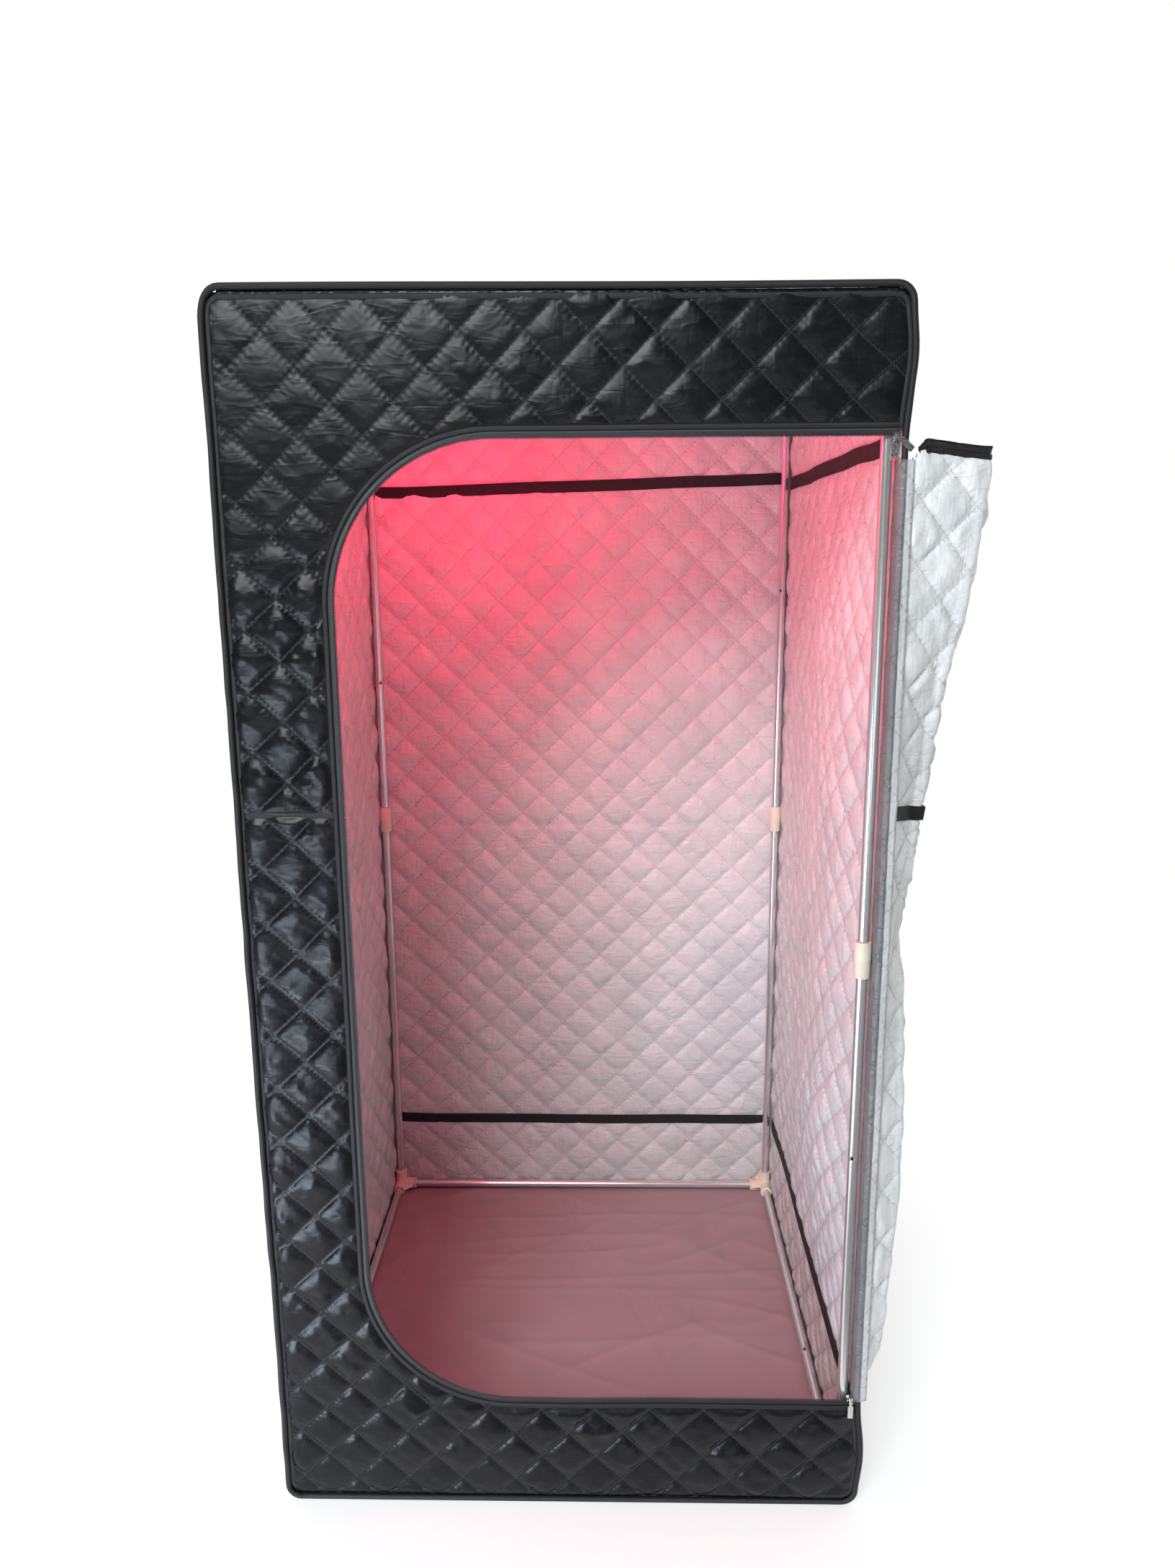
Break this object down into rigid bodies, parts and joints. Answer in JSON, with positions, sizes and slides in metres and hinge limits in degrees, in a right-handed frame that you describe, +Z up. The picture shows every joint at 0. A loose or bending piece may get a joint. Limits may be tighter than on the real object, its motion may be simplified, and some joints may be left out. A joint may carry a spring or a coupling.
{
  "type": "portable steam sauna",
  "caption": "Free-standing quilted fabric steam cabin over a plug-together chrome tube frame, with a C-shaped zip door folded back round one side.",
  "frame": {"origin": "centre of the flat underside of the floor panel", "axes": "+Z up, front opening faces -Y, +X to the viewer's right, door hinge on the +X side"},
  "size_m": [1.0861, 0.9026, 1.7997],
  "materials": {
    "chrome_tube": "bright plated steel tube, fine drawn lines along its length",
    "cream_plastic": "cream injection-moulded plastic, satin",
    "quilted_black": "glossy black nylon, quilted in diamonds, silver-white satin lining inside",
    "silver_lining": "silver-white satin lining, quilted in diamonds, black nylon outside",
    "floor_cloth": "plain woven cloth with fold creases",
    "black_piping": "black bias binding over a cord, stitched",
    "black_tape": "flat black woven webbing",
    "zip_tape": "black twill zip tape with coil teeth",
    "zip_metal": "polished nickel-plated zinc",
    "black_plastic": "black moulded plastic",
    "lamp_lens": "red translucent diffuser"
  },
  "bodies": {
    "root": {"upright_lower_front_left": "chrome_tube", "upright_upper_front_left": "chrome_tube", "upright_coupler_front_left": "cream_plastic", "base_connector_front_left": "cream_plastic", "top_connector_front_left": "cream_plastic", "upright_lower_front_right": "chrome_tube", "upright_upper_front_right": "chrome_tube", "upright_coupler_front_right": "cream_plastic", "base_connector_front_right": "cream_plastic", "top_connector_front_right": "cream_plastic", "upright_lower_back_left": "chrome_tube", "upright_upper_back_left": "chrome_tube", "upright_coupler_back_left": "cream_plastic", "base_connector_back_left": "cream_plastic", "top_connector_back_left": "cream_plastic", "upright_lower_back_right": "chrome_tube", "upright_upper_back_right": "chrome_tube", "upright_coupler_back_right": "cream_plastic", "base_connector_back_right": "cream_plastic", "top_connector_back_right": "cream_plastic", "base_rail_front": "chrome_tube", "base_rail_back": "chrome_tube", "base_rail_left": "chrome_tube", "base_rail_right": "chrome_tube", "top_rail_front": "chrome_tube", "top_rail_back": "chrome_tube", "top_rail_left": "chrome_tube", "top_rail_right": "chrome_tube", "front_panel": "quilted_black", "left_wall": "quilted_black", "right_wall": "quilted_black", "back_wall": "quilted_black", "roof_panel": "quilted_black", "floor_panel": "floor_cloth", "piping_front": "black_piping", "piping_back": "black_piping", "piping_roof_left": "black_piping", "piping_roof_right": "black_piping", "piping_floor_left": "black_piping", "piping_floor_right": "black_piping", "lining_tape_back_upper": "black_tape", "lining_tape_back_lower": "black_tape", "lining_tape_right_upper": "black_tape", "lining_tape_right_lower": "black_tape", "front_zip_tape": "zip_tape", "steam_port_grommet": "black_plastic", "red_lamp_housing": "black_plastic", "red_lamp_lens": "lamp_lens"},
    "door_strip": {"door_strip": "silver_lining"},
    "door_panel": {"door_panel": "silver_lining", "door_zip_tape": "zip_tape", "door_cross_tape": "black_tape"},
    "zip_slider_top": {"zip_slider_top": "zip_metal"},
    "zip_slider_bottom": {"zip_slider_bottom": "zip_metal"},
    "zip_pull_top_outer": {"zip_pull_top_outer": "zip_metal"},
    "zip_pull_top_inner": {"zip_pull_top_inner": "zip_metal"},
    "zip_pull_bottom_outer": {"zip_pull_bottom_outer": "zip_metal"}
  },
  "joints": [
    {"name": "door_swing", "type": "hinge", "parent": "root", "child": "door_strip", "pos_m": [0.4455, -0.4455, 0.9], "axis": [0, 0, 1], "range_deg": [-195, 0]},
    {"name": "door_fold", "type": "hinge", "parent": "door_strip", "child": "door_panel", "pos_m": [0.48491, -0.43805, 0.188], "axis": [0.0582, 0.0156, 0.9982], "range_deg": [-68, 0]},
    {"name": "top_slider_travel", "type": "slide", "parent": "root", "child": "zip_slider_top", "axis": [-1, 0, 0], "range_m": [0, 0.5]},
    {"name": "top_outer_pull_swing", "type": "hinge", "parent": "zip_slider_top", "child": "zip_pull_top_outer", "pos_m": [0.4345, -0.4513, 1.613], "axis": [0, 1, 0], "range_deg": [-20, 130]},
    {"name": "top_inner_pull_swing", "type": "hinge", "parent": "zip_slider_top", "child": "zip_pull_top_inner", "pos_m": [0.4345, -0.438, 1.613], "axis": [0, 1, 0], "range_deg": [0, 80]},
    {"name": "bottom_slider_travel", "type": "slide", "parent": "root", "child": "zip_slider_bottom", "axis": [-1, 0, 0], "range_m": [0, 0.5]},
    {"name": "bottom_pull_swing", "type": "hinge", "parent": "zip_slider_bottom", "child": "zip_pull_bottom_outer", "pos_m": [0.4345, -0.4513, 0.188], "axis": [0, 1, 0], "range_deg": [-80, 80]}
  ],
  "couplings": [
    {"joint": "door_fold", "follows": "door_swing", "ratio": 0.34872}
  ]
}
